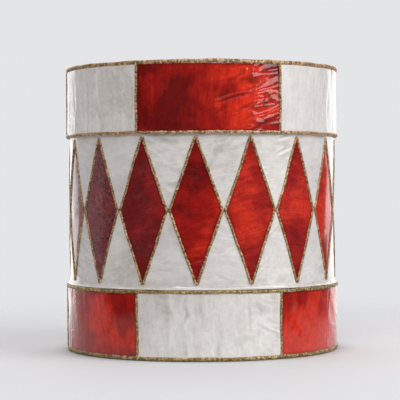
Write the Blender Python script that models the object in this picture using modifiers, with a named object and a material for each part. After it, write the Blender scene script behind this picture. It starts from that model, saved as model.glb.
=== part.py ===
"""Drum-shaped candle lantern clad in capiz shell.

A glass cylinder carries a mosaic of shell: sixteen red diamonds on a white
ground, between two proud bands of alternating red and white panels. A gold
cord fills every joint. A loose brass candle dish stands on the glass floor.

Metres, +Z up. The origin is the middle of the underside, and the front of
the lantern faces -Y.
"""

import math

import bmesh
import bpy
from mathutils import Matrix, Vector

# ---- Driving dimensions -------------------------------------------------

HEIGHT = 0.2083              # foot of the glass to the top of the rim cord
BODY_RADIUS = 0.0985         # outer face of the shell between the bands
SHELL_THICKNESS = 0.0012     # every piece of shell
BAND_BACKING = 0.0016        # thickness of the strips behind the bands
LOWER_STEP_Z = 0.0478        # middle of the cord on the lower band's edge
UPPER_STEP_Z = 0.1580        # middle of the cord on the upper band's edge

GLASS_WALL = 0.0040
GLASS_FLOOR = 0.0060
GLASS_EDGE_RADIUS = 0.0012   # fire-polished edges of the glass
GLASS_BELOW_RIM = 0.0018     # the glass stops this far below the rim cord's top

PANEL_COUNT = 6              # panels in each band
PANEL_TURN = math.radians(3)       # the front panel's middle, to the right of the front
DIAMOND_COUNT = 16
DIAMOND_TURN = math.radians(-2.5)  # the front diamond's middle

RIM_CORD_RADIUS = 0.0017
FOOT_CORD_RADIUS = 0.0015
STEP_CORD_RADIUS = 0.0012
SEAM_CORD_RADIUS = 0.0012
DIAMOND_CORD_RADIUS = 0.0011
DIAMOND_CORNER_RADIUS = 0.0002  # corners of a diamond of shell

DISH_RADIUS = 0.0480
DISH_HEIGHT = 0.0105
DISH_SHEET = 0.0009
DISH_LIP_RADIUS = 0.0013     # rolled lip
DISH_COVE = 0.0050           # bend between the dish's floor and its wall

# ---- Clearances ---------------------------------------------------------

GLUE_GAP = 0.0003            # between any two pieces that touch
UPPER_TIP_CLEARANCE = 0.0009 # diamond cord to the upper step cord
LOWER_TIP_CLEARANCE = 0.0032 # diamond cord to the lower step cord
LEDGE_HEIGHT = 0.0027        # white ledge over the lower step cord
LEDGE_REACH = 0.0011         # how far the ledge stands out of the wall
LEDGE_BEND_HEIGHT = 0.4      # share of the ledge's height where it bends outwards
LEDGE_BEND_REACH = 0.3       # share of its reach at that bend
TRIANGLE_TIP_WIDTH = 0.0008  # white left at the blunt tip of each triangle

# ---- Fineness -----------------------------------------------------------

RING_STEPS = 72              # facets in a full turn of the wall
DISH_STEPS = 36
CORD_SIDES = 6
CUT_MARGIN = 0.004           # cutters run this far past what they cut

# ---- Sizes that follow --------------------------------------------------

GLASS_RADIUS = BODY_RADIUS - SHELL_THICKNESS - GLUE_GAP
GLASS_HEIGHT = HEIGHT - GLASS_BELOW_RIM
BACKING_INNER = GLASS_RADIUS + GLUE_GAP
BACKING_OUTER = BACKING_INNER + BAND_BACKING
PANEL_INNER = BACKING_OUTER + GLUE_GAP
BAND_RADIUS = PANEL_INNER + SHELL_THICKNESS

STEP_CORD_RING = BACKING_OUTER + GLUE_GAP + STEP_CORD_RADIUS
SEAM_CORD_RING = BACKING_OUTER + GLUE_GAP + SEAM_CORD_RADIUS
DIAMOND_CORD_RING = GLASS_RADIUS + GLUE_GAP + DIAMOND_CORD_RADIUS
RIM_CORD_RING = PANEL_INNER + SHELL_THICKNESS / 2
FOOT_CORD_RING = RIM_CORD_RING
RIM_CORD_Z = HEIGHT - RIM_CORD_RADIUS
FOOT_CORD_Z = FOOT_CORD_RADIUS + GLUE_GAP

UPPER_PANEL_Z = (UPPER_STEP_Z + STEP_CORD_RADIUS + GLUE_GAP,
                 RIM_CORD_Z - RIM_CORD_RADIUS - GLUE_GAP)
LOWER_PANEL_Z = (FOOT_CORD_Z + FOOT_CORD_RADIUS + GLUE_GAP,
                 LOWER_STEP_Z - STEP_CORD_RADIUS - GLUE_GAP)
UPPER_GROUND_TOP = UPPER_STEP_Z + STEP_CORD_RADIUS
LOWER_GROUND_FOOT = LOWER_STEP_Z + STEP_CORD_RADIUS + GLUE_GAP

DIAMOND_TOP = UPPER_STEP_Z - STEP_CORD_RADIUS - UPPER_TIP_CLEARANCE
DIAMOND_FOOT = LOWER_STEP_Z + STEP_CORD_RADIUS + LOWER_TIP_CLEARANCE
DIAMOND_Z = (DIAMOND_TOP + DIAMOND_FOOT) / 2
DIAMOND_PITCH = 2 * math.pi * BODY_RADIUS / DIAMOND_COUNT

# The middle line of a diamond's cord: how far it reaches, and how it bends.
CORD_HALF_WIDTH = DIAMOND_PITCH / 2 - DIAMOND_CORD_RADIUS - GLUE_GAP / 2
CORD_HALF_HEIGHT = (DIAMOND_TOP - DIAMOND_FOOT) / 2 - DIAMOND_CORD_RADIUS
CORD_BEND_RADIUS = DIAMOND_CORNER_RADIUS + DIAMOND_CORD_RADIUS + GLUE_GAP

DISH_Z = GLASS_FLOOR + GLUE_GAP


# ---- Scene, materials and small helpers ---------------------------------

def clear_scene():
    """Remove every object that is already in the file."""
    for item in list(bpy.data.objects):
        bpy.data.objects.remove(item, do_unlink=True)


def new_collection(name):
    """A collection linked to the scene."""
    group = bpy.data.collections.new(name)
    bpy.context.scene.collection.children.link(group)
    return group


def make_material(name, colour, roughness, metallic=0.0, alpha=1.0):
    """A Principled material of one colour."""
    material = bpy.data.materials.new(name)
    material.use_nodes = True
    shader = material.node_tree.nodes["Principled BSDF"]
    shader.inputs["Base Color"].default_value = (*colour, 1.0)
    shader.inputs["Roughness"].default_value = roughness
    shader.inputs["Metallic"].default_value = metallic
    shader.inputs["Alpha"].default_value = alpha
    return material


def add_object(name, data, group, material=None):
    """An object for a mesh or curve, in a collection, with its material."""
    item = bpy.data.objects.new(name, data)
    group.objects.link(item)
    if material is not None:
        data.materials.append(material)
    return item


def mesh_from_bmesh(name, shape):
    """A mesh from a bmesh, which is freed."""
    mesh = bpy.data.meshes.new(name)
    shape.to_mesh(mesh)
    shape.free()
    return mesh


def profile_mesh(name, points, closed):
    """A chain or loop of edges through (radius, height) points in the XZ plane."""
    shape = bmesh.new()
    verts = [shape.verts.new((radius, 0.0, height)) for radius, height in points]
    pairs = list(zip(verts, verts[1:]))
    if closed:
        pairs.append((verts[-1], verts[0]))
    for start, end in pairs:
        shape.edges.new((start, end))
    return mesh_from_bmesh(name, shape)


def add_screw(item, angle=2 * math.pi, steps=RING_STEPS):
    """Turn the profile about Z."""
    screw = item.modifiers.new("turned", "SCREW")
    screw.angle = angle
    screw.steps = steps
    screw.render_steps = steps
    screw.use_merge_vertices = True
    screw.merge_threshold = 0.00005
    screw.use_smooth_shade = True


def turned_piece(name, points, group, material=None, steps=RING_STEPS):
    """A full ring or vessel turned from a closed profile that runs down its outside."""
    item = add_object(name, profile_mesh(name, points, True), group, material)
    add_screw(item, steps=steps)
    return item


def evaluated_mesh(item):
    """The object's mesh with its modifiers applied."""
    depsgraph = bpy.context.evaluated_depsgraph_get()
    return bpy.data.meshes.new_from_object(item.evaluated_get(depsgraph))


def add_boolean(item, cutter, operation):
    """An exact Boolean with one other object."""
    cut = item.modifiers.new(operation.lower(), "BOOLEAN")
    cut.operation = operation
    cut.solver = "EXACT"
    cut.object = cutter


def as_cutter(item):
    """Show an object as a guide only."""
    item.hide_render = True
    item.display_type = "WIRE"
    return item


def arc(centre, radius, start, end, steps):
    """Points on an arc, from one angle to another, in degrees."""
    angles = [math.radians(start + (end - start) * i / steps) for i in range(steps + 1)]
    return [(centre[0] + radius * math.cos(a), centre[1] + radius * math.sin(a))
            for a in angles]


def panel_angle(index):
    """Middle of a band panel, counted to the right from the front, about Z."""
    return PANEL_TURN + 2 * math.pi * index / PANEL_COUNT


def seam_angle(index):
    """Joint between a band panel and the next one to its right."""
    return panel_angle(index + 0.5)


def diamond_angle(index):
    """Middle of a diamond, counted to the right from the front."""
    return DIAMOND_TURN + 2 * math.pi * index / DIAMOND_COUNT


# ---- The diamond outline ------------------------------------------------

def sharp_diamond(inset):
    """Half width and half height of the sharp diamond, moved inwards by inset.

    The cord's middle line has rounded corners that reach CORD_HALF_WIDTH and
    CORD_HALF_HEIGHT. A corner of half angle a, rounded to radius r, falls
    short of the sharp one by r / sin(a) - r.
    """
    slope = math.atan2(CORD_HALF_WIDTH, CORD_HALF_HEIGHT)
    half_width = CORD_HALF_WIDTH + CORD_BEND_RADIUS * (1 / math.cos(slope) - 1)
    half_height = CORD_HALF_HEIGHT + CORD_BEND_RADIUS * (1 / math.sin(slope) - 1)
    return half_width - inset / math.cos(slope), half_height - inset / math.sin(slope)


def rounded_diamond(inset, tip_steps, waist_steps, side_steps):
    """Outline (across, up) of the diamond moved inwards by inset, anticlockwise."""
    radius = CORD_BEND_RADIUS - inset
    half_width, half_height = sharp_diamond(inset)
    slope = math.degrees(math.atan2(half_width, half_height))
    waist_x = half_width - radius / math.cos(math.radians(slope))
    tip_z = half_height - radius / math.sin(math.radians(slope))
    corners = [
        arc((waist_x, 0.0), radius, -slope, slope, waist_steps),
        arc((0.0, tip_z), radius, slope, 180 - slope, tip_steps),
        arc((-waist_x, 0.0), radius, 180 - slope, 180 + slope, waist_steps),
        arc((0.0, -tip_z), radius, 180 + slope, 360 - slope, tip_steps),
    ]
    outline = []
    for corner, following in zip(corners, corners[1:] + corners[:1]):
        outline.extend(corner)
        start = Vector(corner[-1])
        end = Vector(following[0])
        outline.extend(tuple(start.lerp(end, i / side_steps)) for i in range(1, side_steps))
    return outline


def diamond_prism(name, outline, group):
    """A prism that cuts one diamond out of the front of the wall."""
    near = -(BODY_RADIUS + CUT_MARGIN)
    far = -(GLASS_RADIUS * math.cos(math.pi / DIAMOND_COUNT) - CUT_MARGIN)
    shape = bmesh.new()
    verts = [shape.verts.new((BODY_RADIUS * math.sin(across / BODY_RADIUS), near, DIAMOND_Z + up))
             for across, up in outline]
    face = shape.faces.new(verts)
    swept = bmesh.ops.extrude_face_region(shape, geom=[face])
    moved = [v for v in swept["geom"] if isinstance(v, bmesh.types.BMVert)]
    bmesh.ops.translate(shape, verts=moved, vec=(0.0, far - near, 0.0))
    bmesh.ops.recalc_face_normals(shape, faces=shape.faces)
    return as_cutter(add_object(name, mesh_from_bmesh(name, shape), group))


# ---- The glass, the backing strips and the dish -------------------------

def make_glass(group, material):
    """Straight glass cylinder with a closed flat bottom.

    The profile runs down the outside from the rim, across the bottom, out
    over the floor and up the inside.
    """
    edge = GLASS_EDGE_RADIUS
    inner = GLASS_RADIUS - GLASS_WALL
    points = arc((inner + edge, GLASS_HEIGHT - edge), edge, 180, 90, 1)
    points += arc((GLASS_RADIUS - edge, GLASS_HEIGHT - edge), edge, 90, 0, 1)
    points += arc((GLASS_RADIUS - edge, edge), edge, 0, -90, 1)
    points.append((0.0, 0.0))
    points.append((0.0, GLASS_FLOOR))
    points += arc((inner - edge, GLASS_FLOOR + edge), edge, -90, 0, 1)
    turned_piece("glass_cylinder", points, group, material)


def wall_ring(name, inner, outer, low, high, group, material):
    """Plain ring of wall."""
    points = [(inner, high), (outer, high), (outer, low), (inner, low)]
    return turned_piece(name, points, group, material)


def make_dish(group, material):
    """Spun candle dish: flat floor, coved wall and rolled lip."""
    wall = DISH_RADIUS - 2 * DISH_LIP_RADIUS
    lip_z = DISH_Z + DISH_HEIGHT - DISH_LIP_RADIUS
    points = arc((DISH_RADIUS - DISH_LIP_RADIUS, lip_z), DISH_LIP_RADIUS, 180, -90, 4)
    points += arc((wall + DISH_SHEET - DISH_COVE, DISH_Z + DISH_COVE), DISH_COVE, 0, -90, 2)
    points.append((0.0, DISH_Z))
    points.append((0.0, DISH_Z + DISH_SHEET))
    cove = DISH_COVE - DISH_SHEET
    points += arc((wall - cove, DISH_Z + DISH_SHEET + cove), cove, -90, 0, 2)
    turned_piece("candle_dish", points, group, material, DISH_STEPS)


# ---- The shell ----------------------------------------------------------

def make_band(name, levels, first_red, group, red, white):
    """Six shell panels, each a slice of a ring with room for a seam cord."""
    low, high = levels
    seam = 2 * (SEAM_CORD_RADIUS + GLUE_GAP) / PANEL_INNER
    sweep = 2 * math.pi / PANEL_COUNT - seam
    points = [(BAND_RADIUS, high), (BAND_RADIUS, low)]
    for index in range(PANEL_COUNT):
        is_red = (index % 2 == 0) == first_red
        colour = "red" if is_red else "white"
        label = f"{name}_{colour}_panel_{index // 2 + 1}"
        panel = add_object(label, profile_mesh(label, points, False), group,
                           red if is_red else white)
        add_screw(panel, sweep, RING_STEPS // PANEL_COUNT)
        panel.rotation_euler.z = panel_angle(index) - math.pi / 2 - sweep / 2
        wall = panel.modifiers.new("thickness", "SOLIDIFY")
        wall.thickness = SHELL_THICKNESS
        wall.offset = -1.0


def make_diamonds(group, cutters, material):
    """Red shell diamonds, each the part of the wall inside a prism."""
    outline = rounded_diamond(DIAMOND_CORD_RADIUS + GLUE_GAP, 2, 1, 1)
    prism = diamond_prism("diamond_prism", outline, cutters)
    blank = wall_ring("diamond_blank", BODY_RADIUS - SHELL_THICKNESS, BODY_RADIUS,
                      DIAMOND_FOOT - CUT_MARGIN, DIAMOND_TOP + CUT_MARGIN, cutters, material)
    add_boolean(blank, prism, "INTERSECT")
    tile = evaluated_mesh(blank)
    as_cutter(blank)
    for index in range(DIAMOND_COUNT):
        item = bpy.data.objects.new(f"red_diamond_{index + 1:02d}", tile)
        item.rotation_euler.z = diamond_angle(index)
        group.objects.link(item)


def hole_cutters(cutters):
    """Prisms that clear each diamond and its cord out of the white ground."""
    outline = rounded_diamond(-DIAMOND_CORD_RADIUS - GLUE_GAP, 5, 2, 1)
    first = diamond_prism("hole_prism_01", outline, cutters)
    first.rotation_euler.z = diamond_angle(0)
    holes = [first]
    for index in range(1, DIAMOND_COUNT):
        hole = as_cutter(bpy.data.objects.new(f"hole_prism_{index + 1:02d}", first.data))
        hole.rotation_euler.z = diamond_angle(index)
        cutters.objects.link(hole)
        holes.append(hole)
    return holes


def triangle_tip_offset():
    """Height above the waists where the white is TRIANGLE_TIP_WIDTH wide."""
    half_width, half_height = sharp_diamond(-DIAMOND_CORD_RADIUS - GLUE_GAP)
    spare = (TRIANGLE_TIP_WIDTH - DIAMOND_PITCH) / 2 + half_width
    return spare * half_height / half_width


def make_grounds(group, cutters, material):
    """The white shell above and below the waists: rings with the diamonds cut out."""
    inner = BODY_RADIUS - SHELL_THICKNESS
    offset = triangle_tip_offset()
    upper = wall_ring("white_ground_upper", inner, BODY_RADIUS, DIAMOND_Z + offset,
                      UPPER_GROUND_TOP, group, material)
    ledge_top = LOWER_GROUND_FOOT + LEDGE_HEIGHT
    ledge_bend = (BODY_RADIUS + LEDGE_REACH * LEDGE_BEND_REACH,
                  LOWER_GROUND_FOOT + LEDGE_HEIGHT * LEDGE_BEND_HEIGHT)
    profile = [(inner, DIAMOND_Z - offset), (BODY_RADIUS, DIAMOND_Z - offset),
               (BODY_RADIUS, ledge_top), ledge_bend,
               (BODY_RADIUS + LEDGE_REACH, LOWER_GROUND_FOOT), (inner, LOWER_GROUND_FOOT)]
    lower = turned_piece("white_ground_lower", profile, group, material)
    for hole in hole_cutters(cutters):
        add_boolean(upper, hole, "DIFFERENCE")
        add_boolean(lower, hole, "DIFFERENCE")


# ---- The gold cords -----------------------------------------------------

def make_diamond_cords(group, material):
    """A closed loop of cord in the joint round each diamond."""
    curve = bpy.data.curves.new("diamond_cord", "CURVE")
    curve.dimensions = "3D"
    curve.bevel_depth = DIAMOND_CORD_RADIUS
    curve.bevel_resolution = (CORD_SIDES - 4) // 2
    outline = rounded_diamond(0.0, 4, 1, 2)
    spline = curve.splines.new("POLY")
    spline.points.add(len(outline) - 1)
    for point, (across, up) in zip(spline.points, outline):
        angle = across / BODY_RADIUS
        point.co = (DIAMOND_CORD_RING * math.sin(angle), -DIAMOND_CORD_RING * math.cos(angle),
                    DIAMOND_Z + up, 1.0)
    spline.use_cyclic_u = True
    spline.use_smooth = True
    curve.materials.append(material)
    for index in range(DIAMOND_COUNT):
        item = bpy.data.objects.new(f"diamond_cord_{index + 1:02d}", curve)
        item.rotation_euler.z = diamond_angle(index)
        group.objects.link(item)


def cord_ring(name, ring_radius, cord_radius, height, group, material=None):
    """One turn of cord, with a corner of its section at the top and the bottom."""
    section = arc((ring_radius, height), cord_radius, 90, -270, CORD_SIDES)[:-1]
    return turned_piece(name, section, group, material)


def seam_cord(name, angle, low, high, group):
    """An upright length of cord in the joint between two panels."""
    shape = bmesh.new()
    place = Matrix.Translation((SEAM_CORD_RING * math.sin(angle),
                                -SEAM_CORD_RING * math.cos(angle), (low + high) / 2))
    bmesh.ops.create_cone(shape, cap_ends=True, segments=CORD_SIDES, radius1=SEAM_CORD_RADIUS,
                          radius2=SEAM_CORD_RADIUS, depth=high - low,
                          matrix=place @ Matrix.Rotation(angle, 4, "Z"))
    return as_cutter(add_object(name, mesh_from_bmesh(name, shape), group))


def make_band_cords(name, lower_ring, upper_ring, group, cutters, material):
    """A band's cords laid as one grid: a ring on each edge and a cord on each seam."""
    (low_radius, low_cord, low_z) = lower_ring
    (high_radius, high_cord, high_z) = upper_ring
    frame = cord_ring(name, low_radius, low_cord, low_z, group, material)
    top = as_cutter(cord_ring(f"{name}_top", high_radius, high_cord, high_z, cutters))
    add_boolean(frame, top, "UNION")
    for index in range(PANEL_COUNT):
        bar = seam_cord(f"{name}_bar_{index + 1}", seam_angle(index), low_z, high_z, cutters)
        add_boolean(frame, bar, "UNION")


# ---- Assembly -----------------------------------------------------------

def main():
    clear_scene()
    parts = new_collection("capiz_drum_lantern")
    cutters = new_collection("cutters")

    red = make_material("red_shell", (0.42, 0.012, 0.010), 0.18)
    white = make_material("white_shell", (0.74, 0.73, 0.70), 0.22)
    gold = make_material("gold_cord", (0.36, 0.22, 0.09), 0.45, 0.6)
    glass = make_material("clear_glass", (0.80, 0.86, 0.84), 0.05, 0.0, 0.35)
    backing = make_material("milky_strip", (0.70, 0.69, 0.66), 0.5)
    brass = make_material("spun_brass", (0.60, 0.42, 0.16), 0.28, 1.0)

    make_glass(parts, glass)
    wall_ring("upper_band_backing", BACKING_INNER, BACKING_OUTER, *UPPER_PANEL_Z,
              parts, backing)
    wall_ring("lower_band_backing", BACKING_INNER, BACKING_OUTER, LOWER_PANEL_Z[0],
              LOWER_GROUND_FOOT - GLUE_GAP, parts, backing)
    make_dish(parts, brass)

    make_band("upper_band", UPPER_PANEL_Z, True, parts, red, white)
    make_band("lower_band", LOWER_PANEL_Z, False, parts, red, white)
    make_diamonds(parts, cutters, red)
    make_grounds(parts, cutters, white)

    make_diamond_cords(parts, gold)
    make_band_cords("upper_band_cords", (STEP_CORD_RING, STEP_CORD_RADIUS, UPPER_STEP_Z),
                    (RIM_CORD_RING, RIM_CORD_RADIUS, RIM_CORD_Z), parts, cutters, gold)
    make_band_cords("lower_band_cords", (FOOT_CORD_RING, FOOT_CORD_RADIUS, FOOT_CORD_Z),
                    (STEP_CORD_RING, STEP_CORD_RADIUS, LOWER_STEP_Z), parts, cutters, gold)


main()
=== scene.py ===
import math

import bpy
import numpy as np
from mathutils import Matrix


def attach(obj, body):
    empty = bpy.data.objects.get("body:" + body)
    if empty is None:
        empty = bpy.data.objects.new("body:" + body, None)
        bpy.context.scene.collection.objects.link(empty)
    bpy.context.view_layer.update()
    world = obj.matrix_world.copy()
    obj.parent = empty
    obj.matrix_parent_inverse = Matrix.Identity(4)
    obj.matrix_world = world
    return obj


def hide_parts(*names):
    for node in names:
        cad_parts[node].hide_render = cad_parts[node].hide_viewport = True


bl_info = {
    "name": "Shell Drum Lantern",
    "version": (1, 0, 0),
    "blender": (4, 5, 0),
    "location": "View3D > Sidebar > Lantern",
    "description": "Finishes a drum lantern of red and white shell with gold cord",
    "category": "Add Mesh",
}

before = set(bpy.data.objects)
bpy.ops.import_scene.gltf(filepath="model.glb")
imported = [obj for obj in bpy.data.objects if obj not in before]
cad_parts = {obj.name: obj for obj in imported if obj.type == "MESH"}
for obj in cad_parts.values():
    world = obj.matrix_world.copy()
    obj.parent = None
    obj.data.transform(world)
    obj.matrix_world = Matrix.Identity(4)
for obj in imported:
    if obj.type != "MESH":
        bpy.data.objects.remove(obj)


# ---- Places read from the fixed frame ----

def mesh_points(mesh):
    """The points of a mesh, one row each."""
    flat = np.empty(len(mesh.vertices) * 3, np.float32)
    mesh.vertices.foreach_get("co", flat)
    return flat.reshape(-1, 3)


def node_places(node):
    """Side, depth and height of each point of a fixed node."""
    return mesh_points(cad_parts[node].data).astype(float).T


def wall_place(node):
    """Where a piece of the wall sits: middle angle, half sweep, radii and heights.

    Angles are counted about Z from the front, which faces -Y, to the right.
    """
    x, y, z = node_places(node)
    middle = math.atan2(x.sum(), -y.sum())
    turn = (np.arctan2(x, -y) - middle + math.pi) % (2 * math.pi) - math.pi
    reach = np.hypot(x, y)
    return {
        "middle": middle,
        "half": float(np.abs(turn).max()),
        "inner": float(reach.min()),
        "outer": float(reach.max()),
        "low": float(z.min()),
        "high": float(z.max()),
    }


RED_PANELS = [f"{band}_band_red_panel_{i}" for band in ("upper", "lower") for i in (1, 2, 3)]
WHITE_PANELS = [f"{band}_band_white_panel_{i}" for band in ("upper", "lower") for i in (1, 2, 3)]
DIAMONDS = [f"red_diamond_{i:02d}" for i in range(1, 17)]
DIAMOND_CORDS = [f"diamond_cord_{i:02d}" for i in range(1, 17)]
PITCH_ANGLE = 2 * math.pi / len(DIAMONDS)

# What sets some pieces apart. A curl is (direction, depth), and a patch that
# makes the shell lighter or darker is (across, up, size, amount).
APART = {
    "upper_band_red_panel_1": {
        "tone_seed": 2923, "wrinkle": 0.55, "rough_side": 1.0,
        "curl": (math.radians(62.0), 0.0009),
        "patches": ((-0.020, 0.004, 0.015, -0.08), (0.004, -0.006, 0.010, 0.06))},
    "lower_band_red_panel_1": {"lift": 0.03, "patches": ((-0.036, 0.002, 0.012, 0.07),)},
    "lower_band_red_panel_3": {
        "tone_seed": 956, "lift": 0.06, "lean": -1.0, "milky": 0.05,
        "patches": ((0.034, 0.0, 0.016, 0.07), (-0.010, 0.0, 0.025, 0.10))},
    "red_diamond_02": {"lift": -0.035},
    "red_diamond_03": {"lift": -0.03},
    "red_diamond_14": {"milky": 0.10},
    "red_diamond_15": {"milky": 0.16},
}

# First seed of each kind of piece, and of its dye or grain where that has its own.
SEEDS = {
    "panel": 100, "panel_dye": 800, "diamond": 200, "diamond_dye": 5654,
    "upper_triangle": 300, "lower_triangle": 350, "triangle_dye": 840, "ledge": 390,
    "loop": 400, "loop_grain": 500, "ring": 600, "ring_grain": 620,
    "seam": 700, "seam_grain": 720,
}

UPPER_PANEL = wall_place("upper_band_red_panel_1")
FIRST_DIAMOND = wall_place("red_diamond_01")
FIRST_CORD = wall_place("diamond_cord_01")
GLASS = wall_place("glass_cylinder")
DISH = wall_place("candle_dish")
UPPER_GROUND = wall_place("white_ground_upper")
LOWER_GROUND = wall_place("white_ground_lower")

BODY_RADIUS = FIRST_DIAMOND["outer"]
BAND_RADIUS = UPPER_PANEL["outer"]
SHELL_THICKNESS = UPPER_GROUND["outer"] - UPPER_GROUND["inner"]
DIAMOND_Z = (FIRST_CORD["low"] + FIRST_CORD["high"]) / 2


# ---- Sizes and colours that a user would change ----

def length(label, default, description):
    """A length in metres."""
    return bpy.props.FloatProperty(name=label, default=default, min=0.0, precision=5,
                                   unit="LENGTH", description=description)


def colour(label, default, description):
    """A linear colour."""
    return bpy.props.FloatVectorProperty(name=label, default=default, size=3, min=0.0, max=1.0,
                                         subtype="COLOR", description=description)


def share(label, default, most, description):
    """A share of one."""
    return bpy.props.FloatProperty(name=label, default=default, min=0.0, max=most,
                                   subtype="FACTOR", description=description)


class ShellSettings(bpy.types.PropertyGroup):
    """The pieces of shell."""

    grid: length("Grid", 0.0009, "Spacing of the points on a piece of shell")
    overlap: length("Overlap", 0.0007, "How far the shell runs under the cord")
    swell: length("Swell", 0.00010, "Height of the slow waves in the shell")
    ripple: length("Ripple", 0.000018, "Height of the growth ridges")
    # Painted shade: a crease is painted darker on one side and lighter on the other, as if lit
    # from one side.
    painted_crease_shade: share("Painted crease shade", 0.14, 0.5, "How much a crease darkens one side of itself")
    cloud: share("Cloud", 0.07, 0.3, "Depth of the broad clouds in the dye")
    # Painted light: the shell's tone is raised towards the right of the lantern and lowered
    # towards the left, as if lit from the right.
    turn: share("Turn", 0.12, 0.3, "How much brighter the shell grows to one side")
    crease: length("Crease", 0.00035, "Depth of the upright creases in a band panel")
    red_deep: colour("Deep red", (0.17, 0.0045, 0.0040), "Thick, dark parts of the red shell")
    red_mid: colour("Red", (0.34, 0.0085, 0.0055), "Body colour of the red shell")
    red_bright: colour("Bright red", (0.64, 0.028, 0.0095), "Thin, bright parts of the red shell")
    white_deep: colour("Grey pearl", (0.66, 0.615, 0.57), "Thick parts of the white shell")
    white_mid: colour("Pearl", (0.82, 0.785, 0.745), "Body colour of the white shell")
    white_bright: colour("Bright pearl", (0.86, 0.84, 0.79), "Thin parts of the white shell")
    nacre: colour("Nacre", (0.69, 0.69, 0.66), "Cool tint in the white shell")
    rose: colour("Rose", (0.76, 0.70, 0.665), "Warm tint in the white shell")
    blush: colour("Blush", (0.84, 0.77, 0.73), "Red dye that has crept under the cords")
    haze: colour("Haze", (0.42, 0.27, 0.33), "Milky bloom under the resin")


class CordSettings(bpy.types.PropertyGroup):
    """The gold cords."""

    diamond_radius: length("Diamond cord", 0.00100, "Half the thickness of a diamond's cord")
    seam_radius: length("Seam cord", 0.00096, "Half the thickness of an upright seam cord")
    step_radius: length("Step cord", 0.0012, "Half the thickness of the cords between the bands")
    rim_radius: length("Rim cord", 0.00158, "Half the thickness of the rim cord")
    foot_radius: length("Foot cord", 0.0015, "Half the thickness of the foot cord")
    lay: length("Lay", 0.0030, "Length of one full twist of the plies")
    spacing: length("Spacing", 0.00034, "Distance between rings of points along a cord")
    bend: length("Bend", 0.0009, "Bend of a diamond's cord at its corners")
    press: length("Press", 0.0004, "How far neighbouring cords press into each other")
    waver: length("Waver", 0.00028, "How far a cord strays from its line")
    # Painted shade: this darker gold is laid in the cord's hollows, between plies and grains, and
    # is also the cord's own darker gold.
    dark: colour("Olive gold", (0.140, 0.088, 0.034), "Gold in the hollows between grains")
    olive: colour("Olive", (0.36, 0.265, 0.080), "Body colour of the greener cords")
    mid: colour("Gold", (0.52, 0.29, 0.145), "Body colour of the cord")
    # Painted highlight: this lighter gold is laid on the raised grains, and is also the glitter's
    # own bright flecks.
    bright: colour("Rose gold", (0.72, 0.50, 0.33), "Bright flecks on the grains")


class VesselSettings(bpy.types.PropertyGroup):
    """The glass, the backing strips and the dish."""

    glass_edge: length("Glass edge", 0.0014, "Rounding of the glass rim")
    dish_lip: length("Dish lip", 0.0013, "Half the thickness of the rolled lip")
    dish_sheet: length("Dish sheet", 0.0009, "Thickness of the spun brass")
    glass_tint: colour("Glass", (0.78, 0.87, 0.85), "Tint of the glass")
    strip: colour("Strip", (0.66, 0.65, 0.62), "Milky backing strip")
    brass: colour("Brass", (0.63, 0.43, 0.17), "Spun brass")


class StageSettings(bpy.types.PropertyGroup):
    """Floor, lights and camera."""

    floor_radius: length("Floor", 3.2, "Radius of the floor")
    distance: length("Distance", 1.157, "Camera to the lantern's axis")
    eye_height: length("Eye height", 0.1185, "Camera above the floor")
    side_step: length("Side step", 0.0015, "Camera to the left of the axis")
    lens: bpy.props.FloatProperty(name="Lens", default=138.7, min=20.0, max=300.0,
                                  unit="CAMERA",
                                  description="Focal length, on a 36 mm sensor")
    paper: colour("Paper", (0.585, 0.585, 0.59), "Pale floor")
    paper_glow: colour("Paper glow", (0.095, 0.092, 0.102), "Light through the floor's paper")
    backdrop: colour("Backdrop", (0.775, 0.783, 0.80), "Plain background")


# ---- Meshes from grids of points ----

def grid_faces(rows, columns, wrap_rows=False, wrap_columns=False, start=0, flip=False):
    """Quads over a grid of points, row by row; wrapped ways join last to first."""
    row = np.arange(rows if wrap_rows else rows - 1)[:, None]
    column = np.arange(columns if wrap_columns else columns - 1)[None, :]
    next_row = (row + 1) % rows
    next_column = (column + 1) % columns
    corners = [row * columns + column, row * columns + next_column,
               next_row * columns + next_column, next_row * columns + column]
    quads = np.stack(np.broadcast_arrays(*corners), axis=-1).reshape(-1, 4) + start
    return quads[:, ::-1] if flip else quads


def fan(tip, ring, flip=False):
    """Triangles from one point to each pair of neighbours in a closed ring."""
    following = np.roll(ring, -1)
    pair = (following, ring) if flip else (ring, following)
    return np.stack([np.full_like(ring, tip), *pair], axis=-1).tolist()


def round_axis(reach, angle, height):
    """Points at a distance from Z, an angle to the right of the front and a height."""
    places = (reach * np.sin(angle), -reach * np.cos(angle), height)
    return np.stack(np.broadcast_arrays(*places), axis=-1)


def make_piece(name, points, faces, slot, replaces, body="lantern", crease=50.0):
    """A smooth mesh piece in its slot's finish, riding on a body of the frame."""
    mesh = bpy.data.meshes.new(name)
    mesh.from_pydata(np.asarray(points).tolist(), [], [list(map(int, f)) for f in faces])
    mesh.validate()
    mesh.shade_smooth()
    mesh.set_sharp_from_angle(angle=math.radians(crease))
    mesh.materials.append(bpy.data.materials[f"{slot}_finish"])
    piece = bpy.data.objects.new(name, mesh)
    bpy.context.scene.collection.objects.link(piece)
    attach(piece, body)
    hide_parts(*replaces)
    return piece


def add_point_values(piece, name, values):
    """A number on every point, for the material to read."""
    layer = piece.data.attributes.new(name, "FLOAT", "POINT")
    layer.data.foreach_set("value", np.asarray(values, np.float32).ravel())


def add_map(piece, name, first, second):
    """A UV map in metres, from two values on every point."""
    layer = piece.data.uv_layers.new(name=name)
    corner = np.empty(len(piece.data.loops), np.int32)
    piece.data.loops.foreach_get("vertex_index", corner)
    uv = np.stack([np.ravel(first)[corner], np.ravel(second)[corner]], axis=-1)
    layer.data.foreach_set("uv", uv.astype(np.float32).ravel())


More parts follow.
